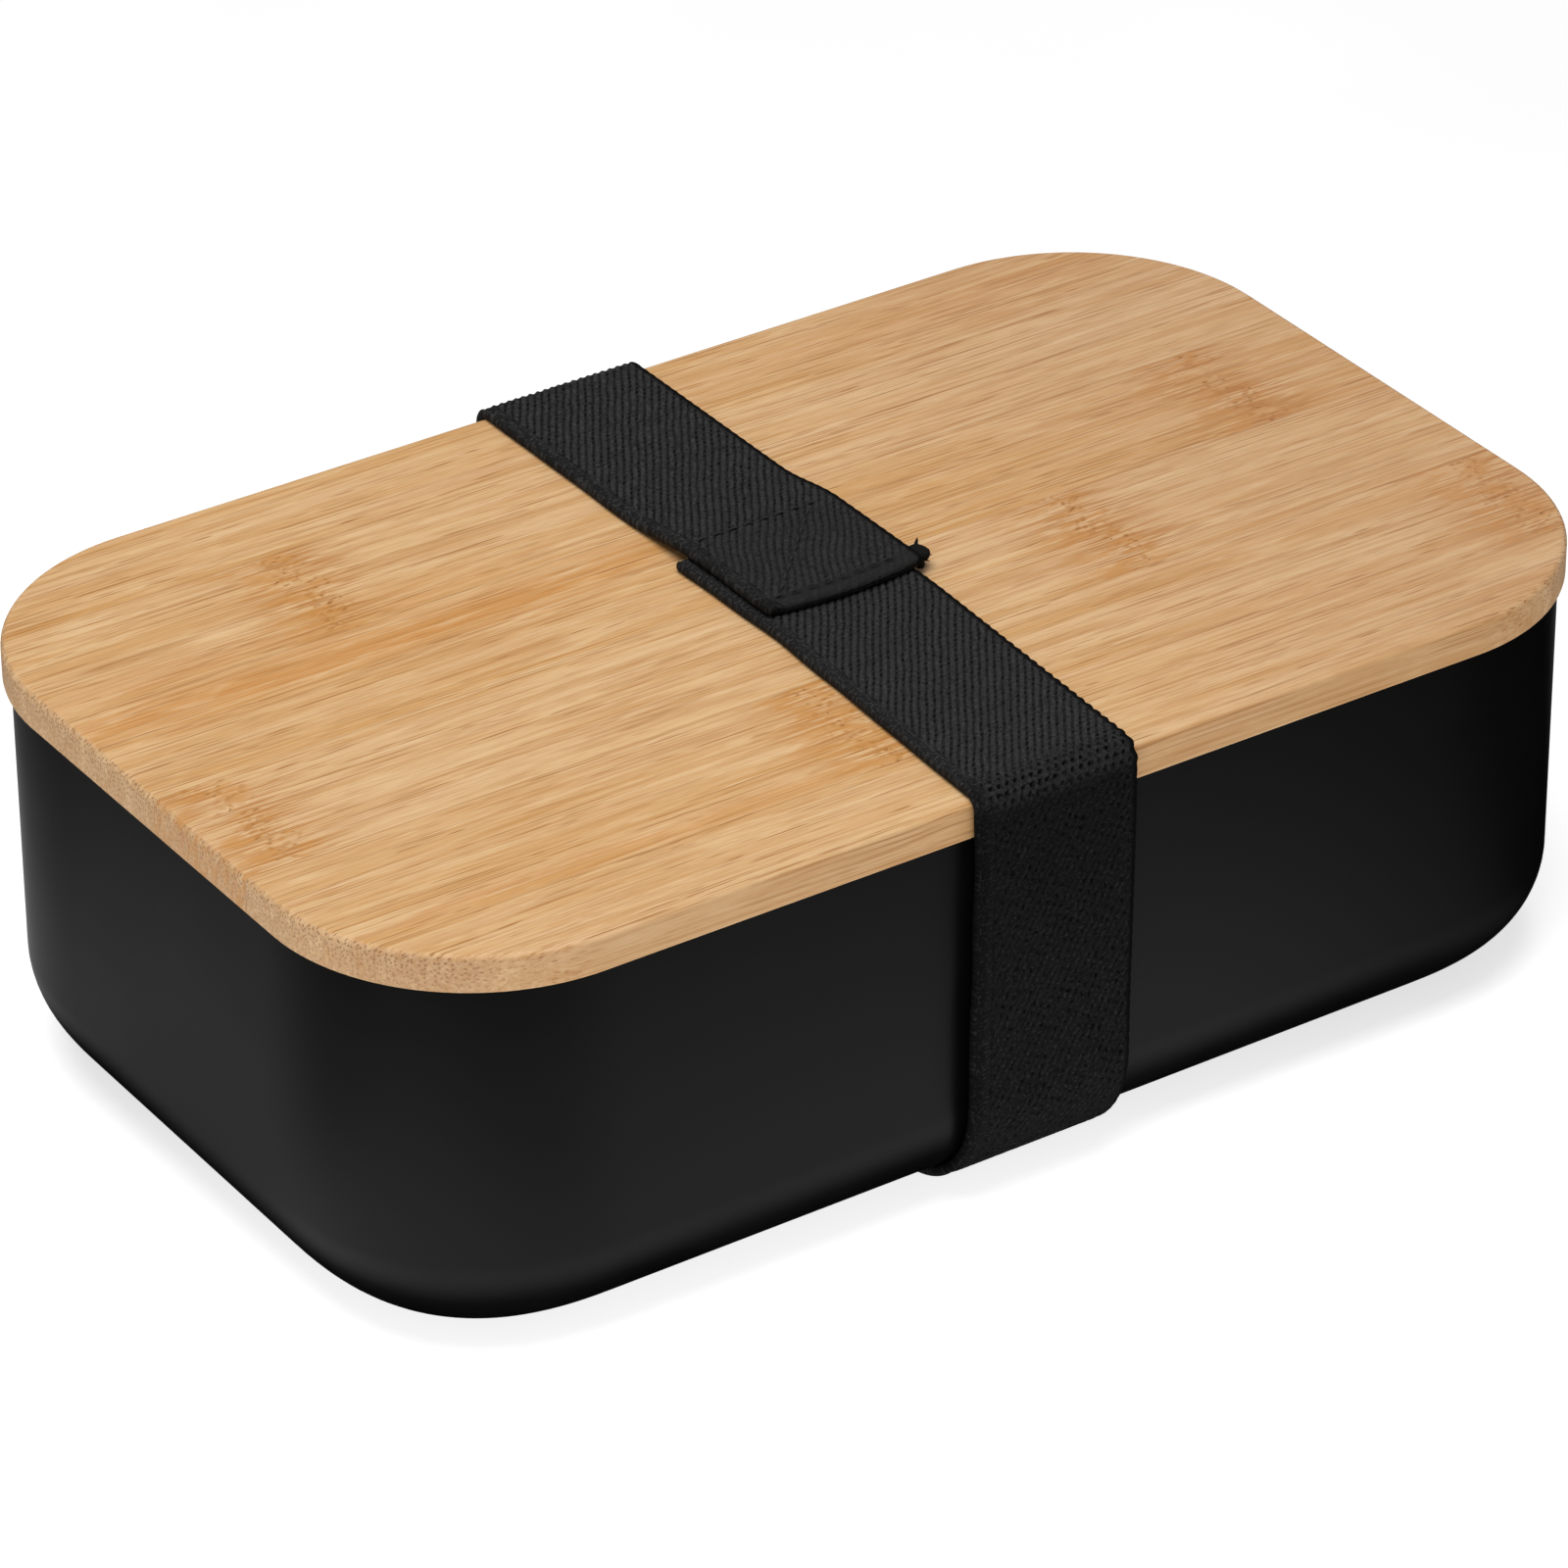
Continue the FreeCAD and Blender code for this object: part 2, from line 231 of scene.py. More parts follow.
class Shader:
    """A node material under construction. Each method adds nodes and returns their output.
    x, y and z are the point's place in the piece's own axes, in millimetres."""

    def __init__(self, name):
        self.material = bpy.data.materials.new(name)
        self.material.use_nodes = True
        self.tree = self.material.node_tree
        self.principled = self.tree.nodes["Principled BSDF"]
        here = self.add("ShaderNodeTexCoord", "Object", {})
        self.x, self.y, self.z = self.split(
            self.add("ShaderNodeVectorMath", 0, {0: here, 1: (1 / MM, 1 / MM, 1 / MM)},
                     operation="MULTIPLY"))

    def feed(self, socket, value):
        if isinstance(value, bpy.types.NodeSocket):
            self.tree.links.new(value, socket)
        else:
            socket.default_value = value

    def add(self, kind, output, inputs, **settings):
        made = self.tree.nodes.new(kind)
        for key, value in settings.items():
            setattr(made, key, value)
        for key, value in inputs.items():
            self.feed(made.inputs[key], value)
        return made.outputs[output]

    def split(self, vector):
        """A vector's three parts."""
        return tuple(self.add("ShaderNodeSeparateXYZ", 0, {0: vector}).node.outputs)

    def stored(self, label):
        """The three parts of an attribute that the mesh stores."""
        return self.split(self.add("ShaderNodeAttribute", "Vector", {}, attribute_name=label))

    def math(self, operation, first, second=0.0, third=0.0):
        inputs = {0: first, 1: second, 2: third}
        return self.add("ShaderNodeMath", 0, inputs, operation=operation)

    def linear(self, value, factor, plus):
        return self.math("MULTIPLY_ADD", value, factor, plus)

    def product(self, first, *others):
        for other in others:
            first = self.math("MULTIPLY", first, other)
        return first

    def most(self, first, *others):
        for other in others:
            first = self.math("MAXIMUM", first, other)
        return first

    def length(self, across, away):
        """The length of a flat vector."""
        return self.math("SQRT", self.linear(across, across, self.product(away, away)))

    def away_from(self, x, y):
        """The distance from a place, seen from above."""
        return self.length(self.math("SUBTRACT", self.x, x), self.math("SUBTRACT", self.y, y))

    def scaled(self, x, y, z, size_x, size_y, size_z, offset=0.0):
        """A vector of x, y, z in cells of the given sizes, moved by an offset."""
        cells = {}
        for axis, (value, size) in enumerate(((x, size_x), (y, size_y), (z, size_z))):
            cells[axis] = self.linear(value, 1 / size, offset)
        return self.add("ShaderNodeCombineXYZ", 0, cells)

    def noise(self, vector, detail=2.0, roughness=0.5):
        inputs = {"Vector": vector, "Scale": 1.0, "Detail": detail, "Roughness": roughness}
        return self.add("ShaderNodeTexNoise", "Fac", inputs)

    def lumps(self, size, detail=2.0):
        """Noise in lumps of one size every way."""
        return self.noise(self.scaled(self.x, self.y, self.z, size, size, size), detail)

    def spots(self, x, y, randomness=1.0):
        """A node with the distance to the nearest spot, one in each cell of x and y."""
        cells = self.add("ShaderNodeCombineXYZ", 0, {0: x, 1: y})
        inputs = {"Vector": cells, "Scale": 1.0, "Randomness": randomness}
        return self.add("ShaderNodeTexVoronoi", 0, inputs, voronoi_dimensions="2D").node

    def ramp(self, value, low, high, to_low=0.0, to_high=1.0):
        """value between low and high, smoothly mapped to to_low and to_high."""
        inputs = {"Value": value, "From Min": low, "From Max": high,
                  "To Min": to_low, "To Max": to_high}
        return self.add("ShaderNodeMapRange", 0, inputs, interpolation_type="SMOOTHSTEP")

    def between(self, share, first, second):
        """A number between two numbers."""
        return self.add("ShaderNodeMix", 0, {0: share, 2: first, 3: second})

    def mix(self, share, first, second):
        """A colour between two colours."""
        return self.add("ShaderNodeMix", 2, {0: share, 6: first, 7: second}, data_type="RGBA")

    def tint(self, colour, share, red, green, blue):
        """A colour turned by a share towards 0 to 255 display values."""
        return self.mix(share, colour, from_srgb(red, green, blue))

    def bump(self, height, distance, strength):
        inputs = {"Height": height, "Distance": distance, "Strength": strength}
        return self.add("ShaderNodeBump", 0, inputs)

    def finish(self, colour, roughness, normal=None, **sockets):
        sockets.update(Base_Color=colour, Roughness=roughness)
        if normal is not None:
            sockets["Normal"] = normal
        for key, value in sockets.items():
            self.feed(self.principled.inputs[key.replace("_", " ")], value)
        return self.material


# ---- bamboo

# Fibre bundles: how far apart they are across and up, how wide, and how strongly they show
# along the culm and on its ends.
FIBRE_BUNDLES = ((0.55, 0.66, 0.22, 0.85, 0.85), (1.10, 1.10, 0.12, 1.00, 0.20))
# A dark brown for the glue lines between strips, and for the painted shade on the lid's sides.
JOINT_AND_SHADE = (158, 112, 70)
OUTERMOST_SEAM = 50


class Bamboo(Shader):
    """Bamboo, whose fibre bundles run along X and drift slowly up and down, so that they show
    as long thin dashes on the faces along the culm and as dots on the ends."""

    def __init__(self, name, seed):
        super().__init__(name)
        self.seed = seed
        facing = self.split(self.add("ShaderNodeTexCoord", "Normal", {}))
        self.facing = [self.math("ABSOLUTE", part) for part in facing]
        self.on_end = self.ramp(self.facing[0], 0.22, 0.62)
        drift = self.grain(70, 9, 9, 0, wavy=False, detail=1.0)
        self.wavy_y = self.linear(drift, 1.4, self.y)

    def grain(self, size_x, size_y, size_z, offset, wavy=True, detail=2.0, roughness=0.5):
        """Noise in cells of the given sizes, which follow the drift of the fibres if wavy."""
        y = self.wavy_y if wavy else self.y
        cells = self.scaled(self.x, y, self.z, size_x, size_y, size_z, self.seed + offset)
        return self.noise(cells, detail, roughness)


def ground(s, pale, warm, warmth, stripes):
    """The strip's slow changes of tone, and its warmer stripes."""
    bands = s.grain(220, 4.5, 6, 3, detail=4.0, roughness=0.6)
    colour = s.mix(s.ramp(bands, 0.34, 0.68, warmth - 0.45, warmth + 0.45), pale, warm)
    blush = s.ramp(s.grain(55, 2.4, 5, 8), 0.45, 0.75, 0, 0.55)
    colour = s.tint(colour, blush, 220, 176, 132)
    for middle, half, start, stop, strength in stripes:
        ragged = s.grain(50, 1.5, 9, middle, wavy=False)
        edge = s.linear(ragged, half * 1.2, -0.6 * half)
        off = s.math("ABSOLUTE", s.math("ADD", s.math("SUBTRACT", s.y, middle), edge))
        band = s.product(s.ramp(off, half * 0.3, half * 1.4, strength, 0.0),
                         s.ramp(ragged, 0.30, 0.62, 0.35, 1.0),
                         s.ramp(s.x, start - 25, start + 10),
                         s.ramp(s.x, stop - 10, stop + 25, 1.0, 0.0))
        colour = s.tint(colour, band, 212, 148, 80)
    return s.tint(colour, s.on_end, 206, 167, 125)


def streaked(s, colour):
    """The ground with fine pale and dark streaks and darker hairs."""
    mottle = s.grain(13, 1.5, 3, 14, detail=3.0, roughness=0.6)
    colour = s.tint(colour, s.ramp(mottle, 0.50, 0.70, 0.0, 0.55), 234, 198, 150)
    colour = s.tint(colour, s.ramp(mottle, 0.48, 0.30, 0.0, 0.40), 206, 154, 94)
    streaks = s.grain(38, 0.42, 0.55, 11, detail=4.0, roughness=0.8)
    colour = s.tint(colour, s.ramp(streaks, 0.50, 0.66, 0.0, 0.50), 240, 206, 160)
    colour = s.tint(colour, s.ramp(streaks, 0.50, 0.34, 0.0, 0.50), 194, 138, 76)
    hairs = s.product(s.ramp(s.grain(26, 0.20, 0.3, 21), 0.52, 0.66, 0.0, 0.55),
                      s.ramp(mottle, 0.62, 0.42), s.ramp(s.on_end, 0.0, 1.0, 1.0, 0.0))
    return s.tint(colour, hairs, 180, 122, 62)


def cut_fibres(s):
    """How much of a cut fibre bundle shows at each point."""
    wavy_z = s.linear(s.grain(30, 2.2, 40, 2, wavy=False), 3.0, s.z)
    shown = 0.0
    for across, deep, width, along_share, end_share in FIBRE_BUNDLES:
        bundles = s.spots(s.linear(s.wavy_y, 1 / across, s.seed),
                          s.linear(wavy_z, 1 / deep, s.seed), 0.85)
        fade = s.ramp(s.grain(24, 1.2, 30, across * 10, detail=1.0), 0.38, 0.62)
        strength = s.between(s.on_end, s.product(fade, along_share), end_share)
        outer = s.linear(s.on_end, 0.10, width)
        dot = s.ramp(bundles.outputs["Distance"], s.product(outer, 0.4), outer, 1.0, 0.0)
        shown = s.most(shown, s.product(dot, strength))
    return s.product(shown, s.ramp(s.z, LID_UNDER, LID_TOP - 0.4, 0.45, 1.0))


def knot(s, colour, place):
    """A node of the culm at x = place: dark lines, a stain and a patch of pores. Returns the
    colour and how deep the pores are."""
    wander = s.grain(900, 5.0, 90, place, wavy=False)
    past = s.math("SUBTRACT", s.x, s.linear(wander, 9.0, place - 4.5))
    away = s.math("ABSOLUTE", past)
    lines = s.ramp(s.grain(9, 0.36, 2, place + 5, wavy=False), 0.48, 0.62, 0.0, 0.9)
    lines = s.product(lines, s.ramp(away, 2.0, 14.0, 1.0, 0.0))
    colour = s.tint(colour, lines, 188, 126, 64)
    blotch = s.grain(5.0, 1.5, 2, place, wavy=False, detail=3.0)
    stain = s.product(s.ramp(blotch, 0.44, 0.62, 0.0, 0.75), s.ramp(past, -13.0, -3.0),
                      s.ramp(past, 1.0, 5.0, 1.0, 0.0))
    colour = s.tint(colour, stain, 206, 146, 80)

    patchy = s.grain(3.2, 1.8, 9, place + 9, wavy=False)
    near = s.ramp(s.linear(patchy, 5.0, away), 3.6, 6.2, 1.0, 0.0)
    jitter = s.product(patchy, 2.2)
    pores = s.spots(s.linear(s.x, 1 / 1.5, jitter),
                    s.linear(s.y, 1 / 0.95, s.math("ADD", jitter, s.seed)))
    from_pore, pick = pores.outputs["Distance"], s.split(pores.outputs["Color"])
    rim = s.product(s.ramp(from_pore, 0.22, 0.50, 0.65, 0.0), s.ramp(pick[0], 0.15, 0.75), near)
    hole = s.product(s.ramp(from_pore, 0.05, 0.25, 0.85, 0.0), s.ramp(pick[1], 0.50, 1.0), near)
    colour = s.tint(colour, rim, 186, 126, 62)
    return s.tint(colour, hole, 140, 90, 42), hole


def painted_shade(s, colour):
    """Painted shade: the top a little greyer towards its right end, and the rounded corners of the
    sides darker. The sawn sides are darker too, partly as painted shade and partly for the tone of
    their cut fibres.
    """
    along, across, level = s.facing
    # Painted shade: the top greyer towards its right end, where less light falls.
    right_end_shade = s.product(s.ramp(level, 0.3, 0.8), s.ramp(s.x, 0, 75, 0.0, 0.16))
    colour = s.tint(colour, right_end_shade, 150, 112, 110)
    # The sides darker: painted shade, and the darker tone of their sawn fibres.
    side_shade = s.product(s.ramp(level, 0.15, 0.75, 0.31, 0.0),
                        s.ramp(s.on_end, 0.0, 1.0, 1.0, 0.1))
    # Painted shade on the rounded corners of the sides.
    corner_shade = s.ramp(s.product(along, across), 0.22, 0.48, 0.0, 0.22)
    return s.tint(colour, s.most(side_shade, corner_shade), *JOINT_AND_SHADE)


def bamboo(name, seed, pale, warm, warmth=0.5, knots=(), stripes=(), seams=()):
    """One strip's bamboo. knots lists the x of each node of the culm. stripes lists (y, half
    width, from x, to x, strength) of warmer streaks, and seams the y of the strip's edges:
    those between two strips show a glue line."""
    s = Bamboo(name, seed)
    colour = streaked(s, ground(s, pale, warm, warmth, stripes))
    fibres = cut_fibres(s)
    tone = s.mix(s.on_end, from_srgb(168, 112, 58), from_srgb(146, 106, 72))
    colour = s.mix(fibres, colour, tone)
    flecks = s.ramp(s.grain(3.5, 0.28, 0.28, 17, wavy=False), 0.50, 0.30, 0.0, 0.22)
    colour = s.tint(colour, flecks, 186, 138, 90)
    pits = 0.0
    for place in knots:
        colour, holes = knot(s, colour, place)
        pits = s.most(pits, holes)
    for seam in [level for level in seams if abs(level) < OUTERMOST_SEAM]:
        beside = s.math("ABSOLUTE", s.math("SUBTRACT", s.y, seam))
        colour = s.tint(colour, s.ramp(beside, 0.02, 0.13, 0.45, 0.0), *JOINT_AND_SHADE)
    relief = s.math("SUBTRACT", s.product(fibres, -0.5), pits)
    return s.finish(painted_shade(s, colour), s.linear(fibres, 0.12, 0.5), s.bump(relief, 0.05 * MM, 0.6),
                    Specular_IOR_Level=0.25)


# ---- other materials


def black_plastic():
    """Satin black polypropylene with a fine moulded texture, matt on the inside, where the colour
    is painted lighter grey so that the inside shows in the little light that reaches it: painted
    light.
    """
    s = Shader("black_polypropylene")
    flow = s.lumps(30, detail=3.0)
    inside = s.add("ShaderNodeAttribute", "Fac", {}, attribute_name="inside")
    rough = s.linear(inside, 0.20, s.ramp(flow, 0.3, 0.7, 0.32, 0.38))
    colour = s.mix(s.ramp(flow, 0.3, 0.7), grey(9), grey(12))
    # Painted light: the inside's colour is lighter grey so that its shape shows.
    colour = s.mix(inside, colour, grey(42))
    normal = s.bump(s.lumps(0.22, detail=1.0), 0.01 * MM, 0.5)
    return s.finish(colour, rough, normal, Specular_IOR_Level=0.1)


def silicone():
    """Pale grey silicone with a little dust on it, which lets some light in."""
    s = Shader("grey_silicone")
    dust = s.lumps(1.5, detail=3.0)
    colour = s.mix(s.ramp(dust, 0.35, 0.7), from_srgb(196, 196, 193), from_srgb(206, 206, 203))
    return s.finish(colour, s.ramp(dust, 0.3, 0.7, 0.5, 0.62), s.bump(dust, 0.01 * MM, 0.4),
                    Subsurface_Weight=0.15, Subsurface_Radius=[2 * MM] * 3)


def black_yarn(name, tone, gloss, sheen):
    """Black polyester yarn: matt, with fine fibres and a soft sheen."""
    s = Shader(name)
    fuzz, patch = s.lumps(0.12), s.lumps(2.5)
    share = s.linear(fuzz, 0.6, s.product(patch, 0.4))
    colour = s.mix(s.ramp(share, 0.3, 0.7), grey(tone - 6), grey(tone + 8))
    return s.finish(colour, s.ramp(patch, 0.3, 0.7, 0.72, 0.85), s.bump(fuzz, 0.04 * MM, 0.6),
                    Specular_IOR_Level=gloss, Sheen_Weight=sheen, Sheen_Roughness=0.5)


# ---- lid


def dress(piece, material, body, node):
    """Gives a piece its material, says which body it rides on and hides the CAD node that it
    stands for.
    """
    piece.data.materials.append(material)
    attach(piece, body)
    if node:
        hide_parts(node)
    return piece


def lid_profile():
    under = quarter_round(UNDER_ARRIS, LID_UNDER + UNDER_ARRIS, UNDER_ARRIS, -90, 0, 4)
    return under + quarter_round(TOP_ARRIS, LID_TOP - TOP_ARRIS, TOP_ARRIS, 0, 90, 8)


def plug_profile():
    """The plug's edge, with the groove that holds the seal ring."""
    inset, deep = PLUG_INSET, PLUG_INSET + GROOVE_DEPTH
    edge = quarter_round(inset + PLUG_ARRIS, PLUG_LOW.z + PLUG_ARRIS, PLUG_ARRIS, -90, 0, 5)
    return edge + [
        (inset, SEAL_LOW.z),
        (deep, SEAL_LOW.z + GROOVE_DRAFT),
        (deep, SEAL_HIGH.z - GROOVE_DRAFT),
        (inset, SEAL_HIGH.z),
        (inset, PLUG_HIGH.z),
    ]


def make_lid():
    """Six strips on top and five in the plug, each its own piece with its own bamboo."""
    pale, warm = from_srgb(228, 187, 138), from_srgb(216, 165, 104)
    tops = {
        1: dict(seed=1.0, warmth=0.50, stripes=((50, 3, 10, 80, 0.4),)),
        2: dict(seed=12.0, warmth=0.35, knots=(-53,), stripes=((24, 2.5, -95, -30, 0.4),)),
        3: dict(seed=23.0, warmth=0.65, knots=(76,), stripes=((16, 4.5, -95, -12, 0.85),)),
        4: dict(seed=34.0, warmth=0.35, knots=(-88, 40)),
        5: dict(seed=45.0, warmth=0.50, knots=(-14, 89), stripes=((-43, 2.0, -80, -30, 0.6),)),
        6: dict(seed=56.0, warmth=0.40),
    }
    plugs = {number: dict(seed=70.0 + 9 * number) for number in range(1, 6)}
    for looks, kind, name, label, profile in (
            (tops, "lid_strip", "bamboo_strip", "bamboo", lid_profile()),
            (plugs, "plug_strip", "bamboo_plug", "bamboo_plug", plug_profile())):
        for number, look in looks.items():
            node = f"{kind}_{number}"
            low, high = node_box(node)
            piece = strip_piece(f"{name}_{number}", profile, low.y, high.y)
            material = bamboo(f"{label}_{number}", pale=pale, warm=warm, seams=(low.y, high.y),
                              **look)
            dress(piece, material, "lid", node)


def make_seal():
    """A silicone ring with two lips."""
    back = PLUG_INSET + GROOVE_DEPTH
    lower = [
        (back, 0.0),
        (SEAL_INSET + SEAL_TIP, 0.0),
        (SEAL_INSET, SEAL_TIP),
        (SEAL_INSET, SEAL_LIP - SEAL_NECK),
        (SEAL_INSET + SEAL_NECK, SEAL_LIP),
        (PLUG_INSET, SEAL_LIP),
    ]
    profile = [(inset, SEAL_LOW.z + height) for inset, height in lower]
    profile += [(inset, SEAL_HIGH.z - height) for inset, height in reversed(lower)]
    piece = ring_piece("silicone_seal", profile, closed=True)
    keep_flats_flat(piece)
    dress(piece, silicone(), "lid", "seal_ring")


# ---- container


def make_container():
    """The tub, from the recess under it, up the outside, over the rim and down the inside."""
    base, rim = CONTAINER_LOW.z, CONTAINER_HIGH.z
    outer, inner = OVERHANG, OVERHANG + WALL
    floor = base + WALL
    profile = [
        (FOOT_INSET + FLAT_MIDDLE, base + FOOT_RECESS),
        (FOOT_INSET + 0.4, base + FOOT_RECESS),
        (FOOT_INSET + 0.1, base + FOOT_RECESS - 0.15),
        (FOOT_INSET, base + 0.2),
        (FOOT_INSET - 0.3, base),
        (FOOT_INSET - 2, base),
    ]
    profile += quarter_round(outer + BOTTOM_ROUND, base + BOTTOM_ROUND, BOTTOM_ROUND, -90, 0, 24)
    profile += [(outer, base + level) for level in WALL_RINGS]
    profile += quarter_round(outer + RIM_ROUND, rim - RIM_ROUND, RIM_ROUND, 0, 90, 5)
    outer_rings = len(profile)
    profile += quarter_round(inner - RIM_ROUND, rim - RIM_ROUND, RIM_ROUND, 90, 180, 5)
    profile += [(inner, base + level) for level in reversed(WALL_RINGS)]
    inner_round = BOTTOM_ROUND - WALL
    profile += quarter_round(inner + inner_round, floor + inner_round, inner_round, 0, -90, 20)
    profile.append((FOOT_INSET + FLAT_MIDDLE, floor))
    piece = ring_piece("black_container", profile, closed=False, eased=outer_rings)
    keep_flats_flat(piece)
    in_ring = len(piece.data.vertices) // len(profile)
    is_inside = np.repeat(np.arange(len(profile)) >= outer_rings, in_ring)
    inside = piece.data.attributes.new("inside", "FLOAT", "POINT")
    inside.data.foreach_set("value", is_inside.astype(np.float32))
    dress(piece, black_plastic(), "container", "container")


# ---- strap

STRAP_WIDTH = 24.2
HALF_PLY = 0.75
# The strap's clearance from the lid and sides, and from the floor and its own lap.
GAP, PLY_GAP = 0.08, 0.02
EDGE_ROUND, END_ROUND, END_CORNER = 0.6, 0.7, 0.9
OUTER_COLUMNS, INNER_COLUMNS = 82, 12
TIGHT_BEND, LOW_BEND = 2.0, 16.75
UNDER_END, LAP_END = 9.9, -9.5
CLIMB_START, CLIMB_STOP, CLIMB_ROWS = 23.0, 9.5, 34
# Where the strap's middle lies along the box, at shares of the strap's length.
STRAP_STOPS = (0, 0.06, 0.185, 0.21, 0.30, 0.50, 0.68, 0.82, 0.90, 1.0)
STRAP_PLACES = (0.45, 1.2, -0.75, -0.6, -1.1, -0.6, 0.9, 1.9, 2.0, 2.2)

# The pitches of the weave across and along the strap, and its depths.
RIB_ACROSS, RIB_ALONG = 1.15, 1.8
BEAD_ACROSS, BEAD_ALONG = 6.0, 0.92
HOLE_ACROSS, HOLE_ALONG = 1.25, 0.85
PIT_ACROSS, PIT_ALONG = 1.3, 3.4
RIB_DEPTH, BEAD_DEPTH, HOLE_DEPTH, PIT_DEPTH = 0.22, 0.14, 0.50, 0.20
WRINKLE_DEPTH, SEAM_DEPTH, PULL_DEPTH = 0.24, 0.07, 0.32
BEND_REACH = 2.6
FRONT_START, FRONT_STOP = (0.3, 3.0), (72, 55)
LAP_BOW = 1.1

BACK_ROW, FRONT_ROW = 10.5, -7.2
ROW_MIDDLE = 1.6
STITCHES_IN_ROW, STITCH_PITCH = 8, 2.4


def waves(across, along, seed, size):
    """Smooth random unevenness between about -1 and 1, over a grid."""
    draw = random.Random(seed)
    total = 0.0
    for _ in range(5):
        turn = draw.uniform(0, math.tau)
        reach = size * draw.uniform(0.7, 1.6)
        phase = draw.uniform(0, math.tau)
        way = across * math.cos(turn) + along * math.sin(turn)
        total += np.sin(math.tau * way / reach + phase)
    return total / 3


def smooth(value, low, high):
    share = np.clip((value - low) / (high - low), 0, 1)
    return share * share * (3 - 2 * share)


def trough(turns):
    """1 where a wave, given in whole turns, is lowest and 0 where it is highest."""
    return 0.5 - 0.5 * np.cos(math.tau * turns)


def dimples(first, second, low, high):
    """Pits where two sets of waves are both at their lowest."""
    return smooth(trough(first) * trough(second), low, high)


def stitch_places():
    """The middle and turn of every stitch on the lap: two rows and a diagonal between them."""
    span = STITCH_PITCH * (STITCHES_IN_ROW - 1)
    places = [(ROW_MIDDLE - span / 2 + step * STITCH_PITCH, row, 0.0)
              for row in (BACK_ROW, FRONT_ROW) for step in range(STITCHES_IN_ROW)]
    rise = BACK_ROW - FRONT_ROW
    turn = math.atan2(rise, span)
    count = round(math.hypot(span, rise) / STITCH_PITCH)
    for step in range(1, count):
        share = step / count
        places.append((ROW_MIDDLE - span / 2 + span * share, FRONT_ROW + rise * share, turn))
    return places


def strap_line():
    """The strap's middle line, from the end under the lap, over the front, under the box and
    up the back to the lap's end. Rows of y, z, outward y and z, and distance along it."""
    lowest = HALF_PLY + PLY_GAP
    over = LID_TOP + GAP + HALF_PLY
    lapped = over + 2 * HALF_PLY + PLY_GAP
    side = HALF_WIDTH + GAP + HALF_PLY
    tight_y, tight_z = side - TIGHT_BEND, over - TIGHT_BEND
    low_y, low_z = side - LOW_BEND, lowest + LOW_BEND
    line = []

    def run(start, stop, spacing, outward):
        steps = max(2, round(math.dist(start, stop) / spacing))
        for step in range(steps):
            share = step / steps
            line.append((start[0] + (stop[0] - start[0]) * share,
                         start[1] + (stop[1] - start[1]) * share, *outward))

    def bend(centre, radius, start, stop, spacing):
        steps = max(3, round(radius * math.radians(stop - start) / spacing))
        for step in range(steps):
            angle = math.radians(start + (stop - start) * step / steps)
            away = (math.cos(angle), math.sin(angle))
            line.append((centre[0] + radius * away[0], centre[1] + radius * away[1], *away))

    run((UNDER_END, over), (-tight_y, over), 0.42, (0, 1))
    bend((-tight_y, tight_z), TIGHT_BEND, 90, 180, 0.2)
    run((-side, tight_z), (-side, low_z), 0.42, (-1, 0))
    bend((-low_y, low_z), LOW_BEND, 180, 270, 0.5)
    run((-low_y, lowest), (low_y, lowest), 0.55, (0, -1))
    bend((low_y, low_z), LOW_BEND, 270, 360, 0.5)
    run((side, low_z), (side, tight_z), 0.45, (1, 0))
    bend((tight_y, tight_z), TIGHT_BEND, 0, 90, 0.2)
    run((tight_y, over), (CLIMB_START, over), 0.42, (0, 1))
    for step in range(CLIMB_ROWS):
        share = step / CLIMB_ROWS
        rise = smooth(share, 0, 1)
        slope = 6 * share * (1 - share) * (lapped - over) / (CLIMB_START - CLIMB_STOP)
        tilt = math.hypot(1, slope)
        line.append((CLIMB_START + (CLIMB_STOP - CLIMB_START) * share,
                     over + (lapped - over) * rise, slope / tilt, 1 / tilt))
    run((CLIMB_STOP, lapped), (LAP_END, lapped), 0.40, (0, 1))
    line.append((LAP_END, lapped, 0, 1))
    line = np.array(line)
    steps = np.hypot(*np.diff(line[:, :2], axis=0).T)
    along = np.concatenate([[0], np.cumsum(steps)])
    return np.column_stack([line, along])


def rounded_ends(line, radius):
    """Adds close rows at both ends and gives each row its share of the full thickness."""
    along = line[:, 4]
    length = along[-1]
    close = radius * (1 - np.cos(np.radians([12, 30, 50, 70, 90])))
    kept = along[(along > radius * 1.2) & (along < length - radius * 1.2)]
    stations = np.sort(np.concatenate([kept, close, length - close]))
    rows = np.column_stack([np.interp(stations, along, column) for column in line.T])
    to_end = np.minimum(stations, length - stations)
    bulk = np.sqrt(np.clip(1 - np.clip((radius - to_end) / radius, 0, 1) ** 2, 0, 1))
    return rows, bulk


def strap_middle(along, length):
    """The x of the strap's middle at each row, which wanders smoothly by a few millimetres."""
    centre = np.interp(along / length, STRAP_STOPS, STRAP_PLACES)
    smoothing = np.hanning(41) / np.hanning(41).sum()
    padded = np.concatenate([np.full(20, centre[0]), centre, np.full(20, centre[-1])])
    return np.convolve(padded, smoothing, "valid")


def strap_section():
    """The section's points, in order over the outer face, the right edge, the inner face and
    the left edge: how far across each is, how far it faces outwards, and if it is outer."""
    turns = np.radians([67, 45, 22, 0, -22, -45, -67])
    right = STRAP_WIDTH - EDGE_ROUND
    across = np.concatenate([
        np.linspace(EDGE_ROUND, right, OUTER_COLUMNS), right + EDGE_ROUND * np.cos(turns),
        np.linspace(right, EDGE_ROUND, INNER_COLUMNS), EDGE_ROUND - EDGE_ROUND * np.cos(turns)])
    facing = np.concatenate([
        np.ones(OUTER_COLUMNS), np.sin(turns), -np.ones(INNER_COLUMNS), -np.sin(turns)])
    return across, facing, np.arange(len(across)) < OUTER_COLUMNS


